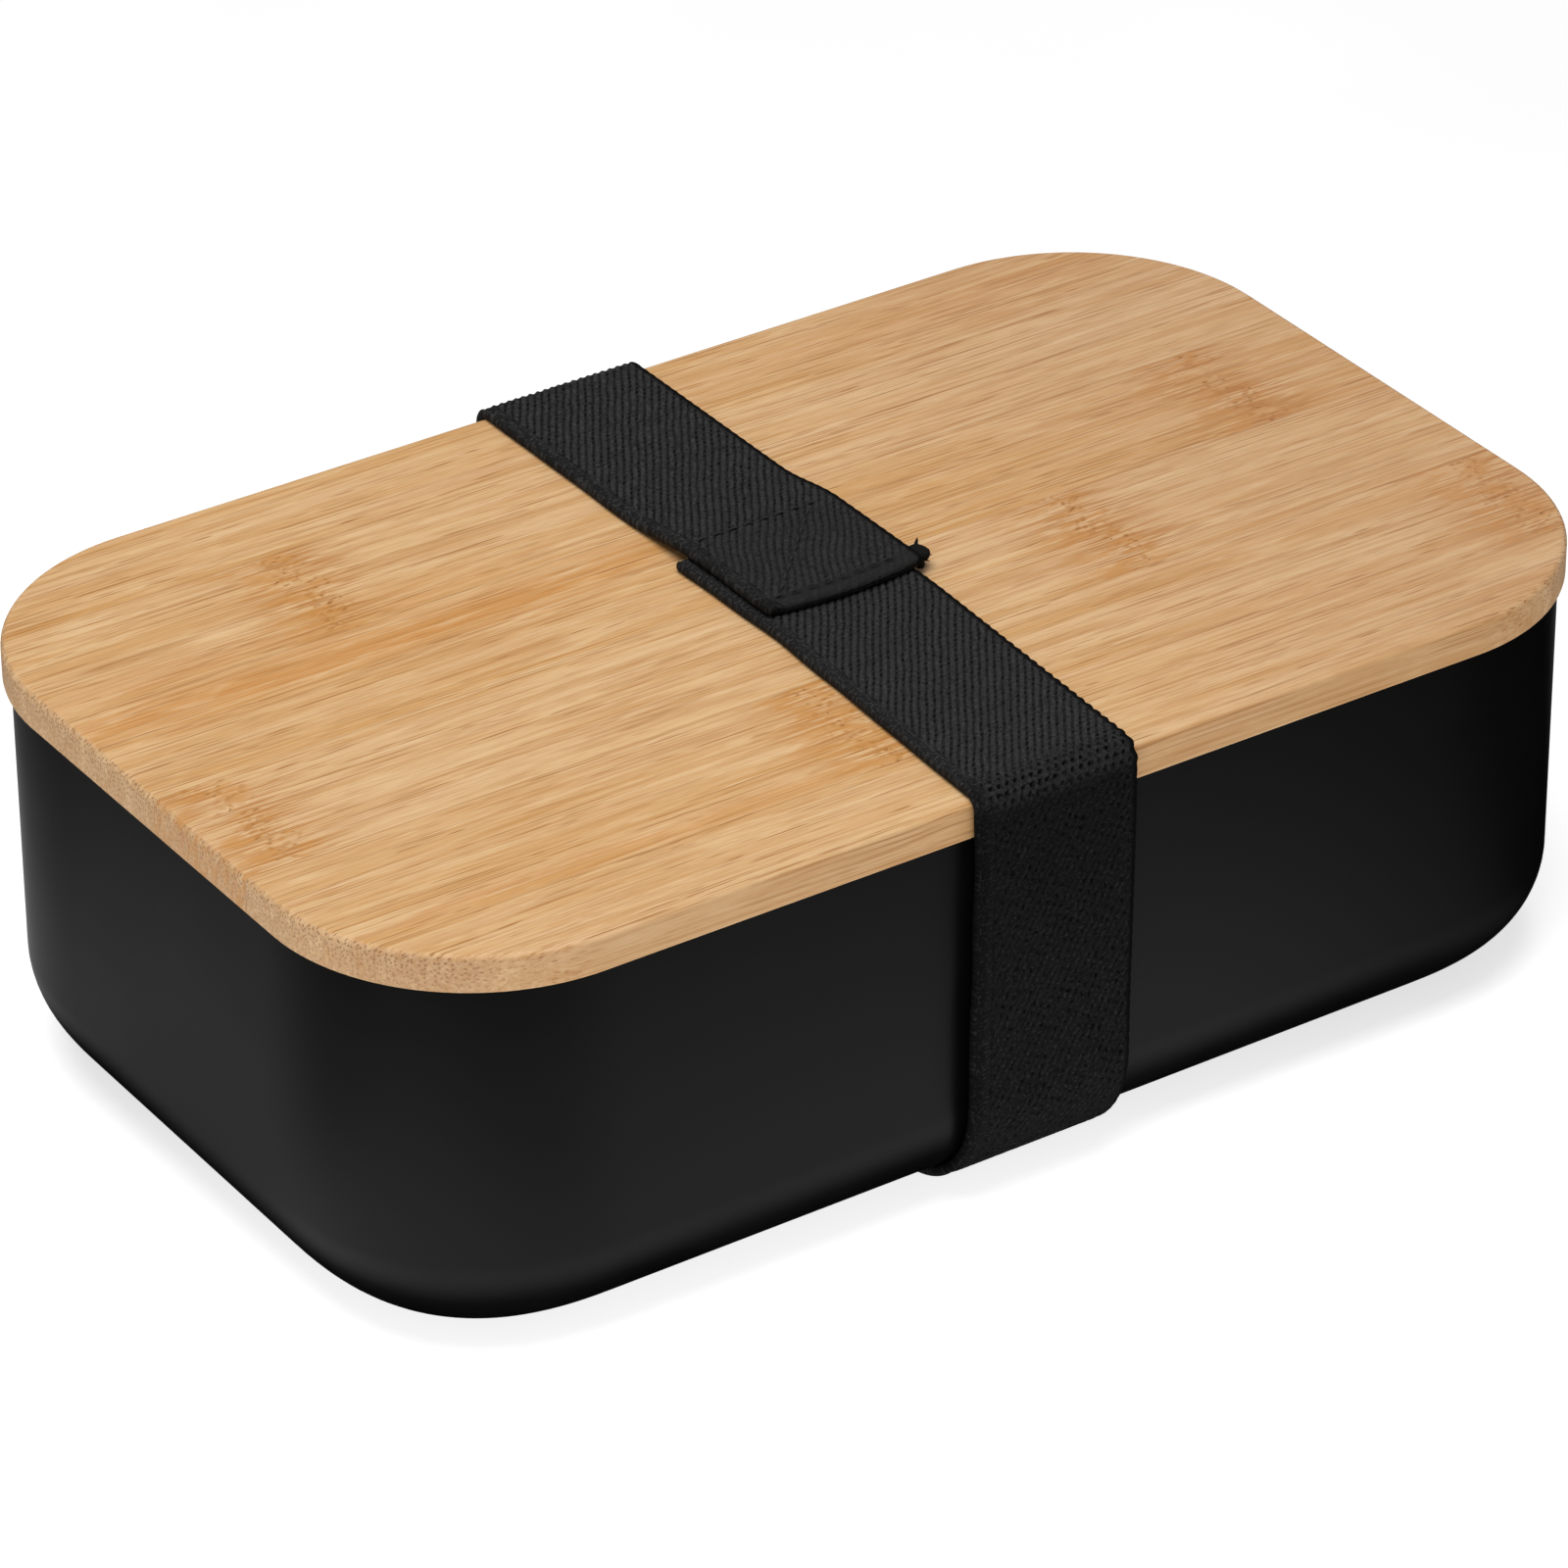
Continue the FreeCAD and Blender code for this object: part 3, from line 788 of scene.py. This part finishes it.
def pulled_by_stitches(x, y, z):
    """How strongly the stitches pull each point of the lap down, 0 to 1."""
    pulled = np.zeros_like(x)
    for place_x, place_y, turn in stitch_places():
        ahead = (x - place_x) * math.cos(turn) + (y - place_y) * math.sin(turn)
        aside = (y - place_y) * math.cos(turn) - (x - place_x) * math.sin(turn)
        pull = np.exp(-(ahead / 0.85) ** 2 - (aside / 0.42) ** 2)
        pulled = np.maximum(pulled, pull * (z > LID_TOP + 2 * HALF_PLY))
    return pulled


def make_strap():
    """The woven strap. In its grids v runs across the strap and s along it."""
    line = strap_line()
    rows, bulk = rounded_ends(line, END_ROUND)
    length = line[-1, 4]
    y, z, out_y, out_z, along = rows.T
    centre = strap_middle(along, length)
    ring_v, facing, is_outer = strap_section()
    v = np.tile(ring_v, (len(rows), 1))
    s = np.tile(along[:, None], (1, len(ring_v)))
    from_end = length - s

    # How far each kind of surface reaches: the ribbed top, the opened bend and the front.
    to_bend = np.abs(line[:, 0] + HALF_WIDTH) + np.abs(line[:, 1] - LID_TOP)
    past_bend = line[np.argmin(to_bend), 4]
    bend_share = np.exp(-((s - past_bend) / BEND_REACH) ** 2)
    front_share = smooth(s, *(past_bend + reach for reach in FRONT_START)) \
        * smooth(s, *(past_bend + reach for reach in FRONT_STOP))
    in_ribs = smooth(v, 1.3, 1.9) * smooth(v, STRAP_WIDTH - 0.3, STRAP_WIDTH - 1.0)
    lap_share = smooth(from_end, 24, 14)

    # The weave: diagonal ribs with beads between them, holes on the bend and pits in front.
    sway = 0.10 * waves(v, s, 3, 14) + 0.07 * waves(v, s, 4, 4)
    sway += 0.26 * lap_share * waves(v, s, 9, 17)
    turns = v / RIB_ACROSS + s / RIB_ALONG + sway
    ridge = (0.5 + 0.5 * np.cos(math.tau * turns)) ** 0.7
    bead = trough(s / BEAD_ALONG + v / BEAD_ACROSS)
    ribs = -RIB_DEPTH * (1 - ridge) - BEAD_DEPTH * bead * (1 - ridge)
    hole_turns = v / HOLE_ACROSS + s / (2 * HOLE_ALONG) + sway
    holes = -HOLE_DEPTH * dimples(hole_turns, s / HOLE_ALONG, 0.42, 0.95)
    ragged = 0.35 * waves(v, s, 12, 3.5)
    pits = -PIT_DEPTH * dimples(v / PIT_ACROSS + s / PIT_ALONG + ragged,
                                s / 1.7 - v / 2.6 - ragged, 0.45, 0.95)
    height = ribs * (1 - bend_share) * (1 - front_share) + holes * bend_share \
        + pits * front_share * (1 - bend_share)
    height = height * in_ribs * (1 + 0.25 * waves(v, s, 5, 6))

    # The wrinkled selvage on the left, the groove beside it and both edges rounded off.
    wrinkle = trough(s / 0.8 + v / 1.4) * (0.3 + 0.7 * bend_share)
    wrinkle = WRINKLE_DEPTH * wrinkle * smooth(v, 2.0, 1.4)
    height -= wrinkle * (0.7 + 0.5 * waves(v, s, 6, 3))
    height -= 0.06 * np.exp(-((v - 1.7) / 0.2) ** 2)
    height -= 0.32 * (1 - smooth(v, 0.2, 1.9))
    height -= 0.2 * (1 - smooth(STRAP_WIDTH - v, 0.2, 1.3))

    # The lap's folded end, its dashed seam and the dimples that the stitches pull.
    hem = smooth(from_end, 3.4, 2.4)
    height = height * (1 - 0.75 * hem) \
        - SEAM_DEPTH * np.exp(-((from_end - 2.6) / 0.5) ** 2) * in_ribs
    pulled = pulled_by_stitches(centre[:, None] + v - STRAP_WIDTH / 2, y[:, None], z[:, None])
    height = (height - PULL_DEPTH * pulled) * is_outer

    # Scalloped right edge, slightly wavy left one and rounded corners at both ends.
    scallop_size = 0.05 + 0.11 * smooth(along, 20, 62) * smooth(along, length - 70, length - 90)
    scallop_size *= 1 - 0.7 * front_share[:, 0]
    scallop = (np.cos(math.tau * along / RIB_ALONG) * scallop_size)[:, None]
    wavy = 0.12 * waves(along, along * 0, 8, 16)[:, None]
    short = np.clip(END_CORNER - np.minimum(along, length - along), 0, END_CORNER)
    nip = END_CORNER - np.sqrt(np.clip(END_CORNER ** 2 - short ** 2, 0, None))
    squeeze = 1 - nip / (STRAP_WIDTH / 2)
    x = centre[:, None] + (v - STRAP_WIDTH / 2) * squeeze[:, None] \
        + scallop * smooth(v, STRAP_WIDTH - 2.0, STRAP_WIDTH - 0.2) + wavy * smooth(v, 2.5, 0.2)
    bow = LAP_BOW * (1 - (2 * v / STRAP_WIDTH - 1) ** 2) * smooth(from_end, 12, 0) ** 2
    offset = (HALF_PLY * facing[None, :] + height) * np.maximum(bulk, 0.06)[:, None]
    bent_y = y[:, None] + out_y[:, None] * offset - bow
    bent_z = z[:, None] + out_z[:, None] * offset

    points = np.stack([x, bent_y, bent_z], axis=-1).reshape(-1, 3)
    piece = mesh_object("woven_strap", points, skin(len(rows), len(ring_v), turned=True))
    # front_bend_pull holds where the front, the bend and the stitch dimples are, which the webbing
    # uses for its patterns and its painted shade.
    for label, layers in (("weave", (v, s, turns)), ("front_bend_pull", (front_share, bend_share, pulled)),
                          ("lap", (hem, lap_share, hole_turns))):
        stored = piece.data.attributes.new(label, "FLOAT_VECTOR", "POINT")
        stored.data.foreach_set("vector", np.stack(layers, axis=-1).astype(np.float32).ravel())
    piece.data.materials.append(webbing())
    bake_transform(piece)
    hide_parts("elastic_strap")
    return piece, length


def webbing():
    """Black elastic webbing. Attributes give each point's place across and along the strap in
    millimetres and its turn of the ribs, so that the shading follows the ribs' shape, and how
    far it is on the front, on the opened bend, on a stitch, on the hem or on the lap."""
    s = Shader("black_webbing")
    across, along, turns = s.stored("weave")
    front, bend, pulled = s.stored("front_bend_pull")
    hem, lap, hole_turns = s.stored("lap")

    def wave(turns):
        return s.math("COSINE", s.product(turns, math.tau))

    def dip(turns):
        return s.linear(wave(turns), -0.5, 0.5)

    def lattice(first, second, low, high):
        return s.ramp(s.product(dip(first), dip(second)), low, high)

    def steps(across_pitch, along_pitch):
        return s.linear(across, 1 / across_pitch, s.product(along, 1 / along_pitch))

    # Dark marks, painted shade in the weave's hollows: between the ribs, in the holes of the bend
    # and in the pits of the front, with random dark specks among them.
    uneven = s.noise(s.scaled(across, along, turns, 1.1, 1.3, 400))
    speck = s.noise(s.scaled(across, along, turns, 0.42, 0.42, 400, 31), detail=1.0)
    groove = s.ramp(dip(turns), 0.30, 0.95)
    beads = s.linear(uneven, 0.8, steps(BEAD_ACROSS, BEAD_ALONG))
    dots = s.product(lattice(turns, beads, 0.35, 0.80), s.ramp(uneven, 0.38, 0.58, 0.5, 1.0))
    ribbed = s.most(s.product(groove, s.ramp(speck, 0.3, 0.6, 0.80, 0.35)), dots,
                    s.ramp(speck, 0.56, 0.72, 0.0, 0.6))
    ribbed = s.product(ribbed, s.linear(hem, -0.75, 1.0),
                       s.linear(lap, -0.25, 1.0))
    opened = lattice(s.linear(uneven, 0.5, hole_turns),
                     s.linear(speck, 0.35, s.product(along, 1 / HOLE_ALONG)),
                     0.34, 0.66)
    opened = s.most(s.product(opened, s.ramp(uneven, 0.32, 0.52, 0.5, 1.0)),
                    s.ramp(speck, 0.54, 0.70, 0.0, 0.6))
    pitted = lattice(steps(PIT_ACROSS, PIT_ALONG),
                     s.linear(uneven, 1.6, steps(-2.6, 1.5)), 0.50, 0.78)
    pitted = s.most(s.product(pitted, s.ramp(uneven, 0.38, 0.52)), s.product(groove, 0.45),
                    s.ramp(speck, 0.60, 0.72, 0.0, 0.7))
    mark = s.between(bend, s.between(front, ribbed, pitted), opened)

    # The selvage on the left has ticks, a thin dark line of painted shade along its inner edge and
    # a speckled band of painted shade over it, and takes less room in front. The right edge and
    # the dimples that the stitches pull get painted shade too.
    edge_band = s.linear(front, -0.7, across)
    mark = s.product(mark, s.ramp(edge_band, 1.5, 2.1), s.ramp(across, 24.0, 23.4))
    ticks = s.ramp(dip(steps(1.4, 0.62)), 0.45, 1.0, 0.0, s.linear(bend, 0.4, 0.6))
    ticks = s.product(ticks, s.ramp(uneven, 0.35, 0.6, 0.3, 1.0), s.ramp(edge_band, 0.1, 0.5),
                      s.ramp(edge_band, 2.0, 1.5))
    # Painted shade: a thin dark line along the selvage's inner edge.
    border_shade = s.math("ABSOLUTE", s.math("SUBTRACT", edge_band, 1.8))
    border_shade = s.ramp(border_shade, 0.05, 0.30, s.ramp(uneven, 0.35, 0.6, 0.2, 0.75), 0.0)
    # Painted shade over the selvage, broken up by specks.
    selvage_shade = s.product(s.ramp(across, 1.9, 1.3), s.ramp(speck, 0.36, 0.60, 0.20, 0.65))
    # Painted shade along the right edge, where the strap's side is in shade.
    right_edge_shade = s.ramp(across, 22.9, 23.7, 0.0, 0.95)
    # The dimples that the stitches pull get painted shade.
    mark = s.most(mark, ticks, border_shade, s.product(pulled, 0.7), selvage_shade, right_edge_shade)

    # The yarn between the marks, with lighter specks painted as glints. It is darker in front as
    # painted shade, more so up under the lid, darker on the bend as painted shade, and darker on
    # the lap and the hem.
    fuzz, patch = s.lumps(0.16), s.lumps(3)
    light = s.mix(s.ramp(patch, 0.3, 0.7), grey(46), grey(52))
    light = s.mix(s.ramp(fuzz, 0.40, 0.66, 0.0, 0.5), light, grey(58))
    # Lighter specks painted as glints on the yarn.
    light = s.mix(s.ramp(speck, 0.48, 0.30, 0.0, 0.8), light, grey(68))
    # Painted shade: the front's darker yarn, with lighter specks painted as glints.
    front_shaded = s.mix(s.ramp(speck, 0.46, 0.28), grey(22), grey(40))
    light = s.mix(s.product(front, 0.95), light, front_shaded)
    # Painted shade on the front, deepest up under the lid's overhang.
    lid_shade = s.ramp(s.z, 28, 54, 0.0, 0.30)
    # Painted shade on the bend and on the front under the lid; the lap and the hem are darker too.
    for where, share, tone in (
            (lap, 0.30, 34), (bend, 0.50, 26), (hem, 0.40, 24), (front, lid_shade, 10)):
        light = s.mix(s.product(where, share), light, grey(tone))
    colour = s.mix(mark, light, grey(6))

    relief = s.linear(mark, -0.8, s.linear(wave(steps(3.0, 0.36)), 0.2, fuzz))
    return s.finish(colour, s.ramp(patch, 0.3, 0.7, 0.72, 0.85), s.bump(relief, 0.08 * MM, 0.9),
                    Specular_IOR_Level=0.05)


# ---- thread

HALF_STITCH, THREAD_RADIUS = 0.75, 0.15


def tube(points, radii, sides):
    """Points and faces of a closed tapering tube along a line, in millimetres."""
    line = [Vector(point) for point in points]
    made = []
    for index, point in enumerate(line):
        ahead = (line[min(index + 1, len(line) - 1)] - line[max(index - 1, 0)]).normalized()
        guide = Vector((0, 0, 1)) if abs(ahead.z) < 0.9 else Vector((1, 0, 0))
        across = ahead.cross(guide).normalized()
        upward = across.cross(ahead)
        for side in range(sides):
            angle = math.tau * side / sides
            around = across * math.cos(angle) + upward * math.sin(angle)
            made.append(point + around * radii[index])
    return made, skin(len(line), sides, turned=True)


def joined(parts):
    """Several sets of points and faces as one."""
    points, faces = [], []
    for some_points, some_faces in parts:
        faces += [[index + len(points) for index in face] for face in some_faces]
        points += some_points
    return points, faces


def make_thread(material):
    """The lap's stitches, each a short thread that dips into the weave at both ends."""
    surface = LID_TOP + GAP + 4 * HALF_PLY + PLY_GAP
    parts = []
    for place_x, place_y, turn in stitch_places():
        line, radii = [], []
        for step in range(9):
            share = step / 4 - 1
            ahead = share * HALF_STITCH
            line.append((place_x + ahead * math.cos(turn), place_y + ahead * math.sin(turn),
                         surface - 0.16 - 0.30 * share ** 4))
            radii.append(THREAD_RADIUS * math.sqrt(max(1 - share ** 4, 0.1)))
        parts.append(tube(line, radii, 10))
    piece = mesh_object("sewing_thread", *joined(parts))
    return dress(piece, material, "strap_upper", "strap_stitching")


def pebble(centre, radii, seed, rings=14, sides=20):
    """Points and faces of a closed lumpy blob, in millimetres."""
    draw = random.Random(seed)
    lumps = [(Vector((draw.uniform(-1, 1), draw.uniform(-1, 1), draw.uniform(-1, 1))).normalized(),
              draw.uniform(0.05, 0.16)) for _ in range(9)]
    points = []
    for ring in range(1, rings):
        fall = math.pi * ring / rings
        for side in range(sides):
            turn = math.tau * side / sides
            way = Vector((math.sin(fall) * math.cos(turn), math.sin(fall) * math.sin(turn),
                          math.cos(fall)))
            swell = 0.92 + sum(size * max(way.dot(lump), 0) ** 6 for lump, size in lumps)
            points.append(Vector([c + r * w * swell for c, r, w in zip(centre, radii, way)]))
    for end in (1, -1):
        points.append(Vector((centre[0], centre[1], centre[2] + end * radii[2] * 0.92)))
    top = sides * (rings - 1)
    faces = [[side, (side + 1) % sides, top] for side in range(sides)]
    for ring in range(rings - 2):
        low = ring * sides
        for side in range(sides):
            after = (side + 1) % sides
            faces.append([low + after, low + side, low + sides + side, low + sides + after])
    last = (rings - 2) * sides
    faces += [[last + (side + 1) % sides, last + side, top + 1] for side in range(sides)]
    return points, faces


def make_frayed_end(material):
    """The hem's end stands out past the strap's right edge as a small knob with a loose thread
    and seven short fibres."""
    parts = [
        pebble((14.75, -7.0, 63.45), (1.75, 1.75, 0.85), 3),
        pebble((14.15, -8.5, 62.75), (0.70, 0.65, 0.55), 5),
        tube([(14.7, -6.6, 63.8), (15.2, -6.0, 64.1), (15.6, -5.6, 64.4), (15.85, -5.4, 64.65)],
             [0.34, 0.30, 0.20, 0.07], 10),
    ]
    draw = random.Random(RANDOM_SEED)
    for _ in range(7):
        turn = draw.uniform(-1.2, 0.9)
        reach = draw.uniform(1.7, 2.1)
        lift = draw.uniform(-0.3, 0.3)
        start = Vector((14.6, -7.1, 63.4 + lift))
        away = Vector((math.cos(turn), math.sin(turn), draw.uniform(-0.15, 0.25)))
        line = [start + away * reach * share for share in (0.5, 0.75, 1.0)]
        parts.append(tube(line, [0.14, 0.12, 0.05], 8))
    piece = mesh_object("frayed_hem_end", *joined(parts))
    return dress(piece, material, "strap_upper", None)


# ---- surroundings

HALF_FLOOR, CARD_DROP = 6000, 2
GLOW_CENTRE, GLOW_REACH, GLOW_STRENGTHS = (-70, -150), (40, 360), (0.90, 0.36)
# How strongly the room lights the box, and how bright the camera sees it.
ROOM_LIGHT, ROOM_SEEN = 0.25, 0.56
AIM = (0, 0, 0.03)
CAMERA_ANGLES = (-33.69, 31.25, -0.35)
CAMERA_TARGET = (-0.60, 1.09, 30.12)
CAMERA_DISTANCE, CAMERA_LENS = 1.0533, 185.9


def pale_floor():
    """A white sheet that glows softly as if lit from under: a painted pool of light, strongest in
    front of the box's left half.
    """
    s = Shader("pale_floor")
    mottle = s.ramp(s.lumps(60), 0.3, 0.7)
    colour = s.mix(mottle, (0.80, 0.80, 0.80, 1), (0.82, 0.82, 0.82, 1))
    glow = s.ramp(s.away_from(*GLOW_CENTRE), *GLOW_REACH, *GLOW_STRENGTHS)
    return s.finish(colour, 0.9, None, Specular_IOR_Level=0.0, Emission_Color=(1, 1, 1, 1),
                    Emission_Strength=glow)


def card_glow():
    """A hidden glowing card whose painted reflections glossy surfaces see in place of the floor: a
    glow round the box that fades outwards and towards the right, a spot beside its near left
    corner and a weaker glow behind it."""
    s = Shader("card_glow")
    past = [s.math("MAXIMUM", s.math("SUBTRACT", s.math("ABSOLUTE", value), half - LID_CORNER))
            for value, half in ((s.x, HALF_LENGTH), (s.y, HALF_WIDTH))]
    outside = s.length(*past)
    near = s.ramp(outside, LID_CORNER - 5, LID_CORNER + 110, 1.40, 0.2)
    leftward = s.ramp(s.linear(s.y, 0.6, s.x), -20, 75, 0.89, 0.0)
    glow = s.product(near, leftward, s.ramp(s.y, -90, 10, 1.24, 0.50))
    glow = s.math("ADD", glow, s.ramp(s.away_from(-112, -60), 12, 70, 0.75, 0.0))
    behind = s.product(s.ramp(s.y, -25, 40, 0.0, 0.75), s.ramp(s.x, -100, -50))
    glow = s.linear(near, behind, glow)
    glow = s.product(glow, s.ramp(outside, LID_CORNER - 2, LID_CORNER + 14))
    return s.finish((0, 0, 0, 1), 1.0, None, Specular_IOR_Level=0.0,
                    Emission_Color=(1, 1, 1, 1), Emission_Strength=glow)


def make_floor():
    """The pale floor, and a card under it that only glossy surfaces see."""
    corners = ((-1, -1), (1, -1), (1, 1), (-1, 1))
    sheets = []
    for name, level, material in (("floor", 0, pale_floor()),
                                  ("reflection_card", -CARD_DROP, card_glow())):
        points = [(x * HALF_FLOOR, y * HALF_FLOOR, level) for x, y in corners]
        sheets.append(mesh_object(name, points, [[0, 1, 2, 3]], smooth=False))
        sheets[-1].data.materials.append(material)
    floor, card = sheets
    floor.visible_glossy = False
    card.visible_camera = card.visible_diffuse = card.visible_shadow = False


def direction(azimuth, elevation):
    """Away from the box. Azimuth 0 is in front of it and 90 is on its right, in degrees."""
    turn, lift = math.radians(azimuth), math.radians(elevation)
    return Vector((math.sin(turn) * math.cos(lift), -math.cos(turn) * math.cos(lift),
                   math.sin(lift)))


def area_light(name, azimuth, elevation, distance, size, power):
    """A soft round light aimed at the box."""
    away = direction(azimuth, elevation)
    light = bpy.data.lights.new(name, "AREA")
    light.shape, light.size, light.energy = "DISK", size, power
    lamp = bpy.data.objects.new(name, light)
    lamp.location = Vector(AIM) + away * distance
    lamp.rotation_mode = "QUATERNION"
    lamp.rotation_quaternion = (-away).to_track_quat("-Z", "Y")
    bpy.context.collection.objects.link(lamp)


def make_lights():
    """Two soft lights in a pale room, which the camera sees brighter than it lights."""
    world = bpy.data.worlds.new("pale_room")
    world.use_nodes = True
    nodes, links = world.node_tree.nodes, world.node_tree.links
    nodes["Background"].inputs["Color"].default_value = (1, 1, 1, 1)
    path = nodes.new("ShaderNodeLightPath")
    strength = nodes.new("ShaderNodeMapRange")
    strength.inputs["To Min"].default_value = ROOM_LIGHT
    strength.inputs["To Max"].default_value = ROOM_SEEN
    links.new(path.outputs["Is Camera Ray"], strength.inputs["Value"])
    links.new(strength.outputs[0], nodes["Background"].inputs["Strength"])
    bpy.context.scene.world = world
    area_light("overhead", -60, 77, 1.1, 0.9, 9.7)
    area_light("from_left", -90, 30, 1.6, 1.0, 1)


def make_camera():
    """A long lens seen from the front left, leaning by a fraction of a degree."""
    azimuth, elevation, roll = CAMERA_ANGLES
    back = direction(azimuth, elevation)
    right = (-back).cross(Vector((0, 0, 1))).normalized()
    above = right.cross(-back)
    lean = math.radians(roll)
    leant_right = right * math.cos(lean) + above * math.sin(lean)
    leant_above = above * math.cos(lean) - right * math.sin(lean)
    data = bpy.data.cameras.new("camera")
    data.sensor_width, data.lens = 36, CAMERA_LENS
    data.clip_start, data.clip_end = 0.05, 30
    camera = bpy.data.objects.new("camera", data)
    axes = Matrix((leant_right, leant_above, back)).transposed()
    place = Vector(CAMERA_TARGET) * MM + back * CAMERA_DISTANCE
    camera.matrix_world = Matrix.Translation(place) @ axes.to_4x4()
    bpy.context.collection.objects.link(camera)
    bpy.context.scene.camera = camera
    bpy.context.scene.view_settings.view_transform = "Standard"


random.seed(RANDOM_SEED)
make_camera()
make_floor()
make_lights()
make_container()
make_lid()
make_seal()
strap, strap_length = make_strap()
stitching = make_thread(black_yarn("black_thread", 30, 0.3, 0.08))
frayed_end = make_frayed_end(black_yarn("frayed_webbing", 22, 0.05, 0.0))
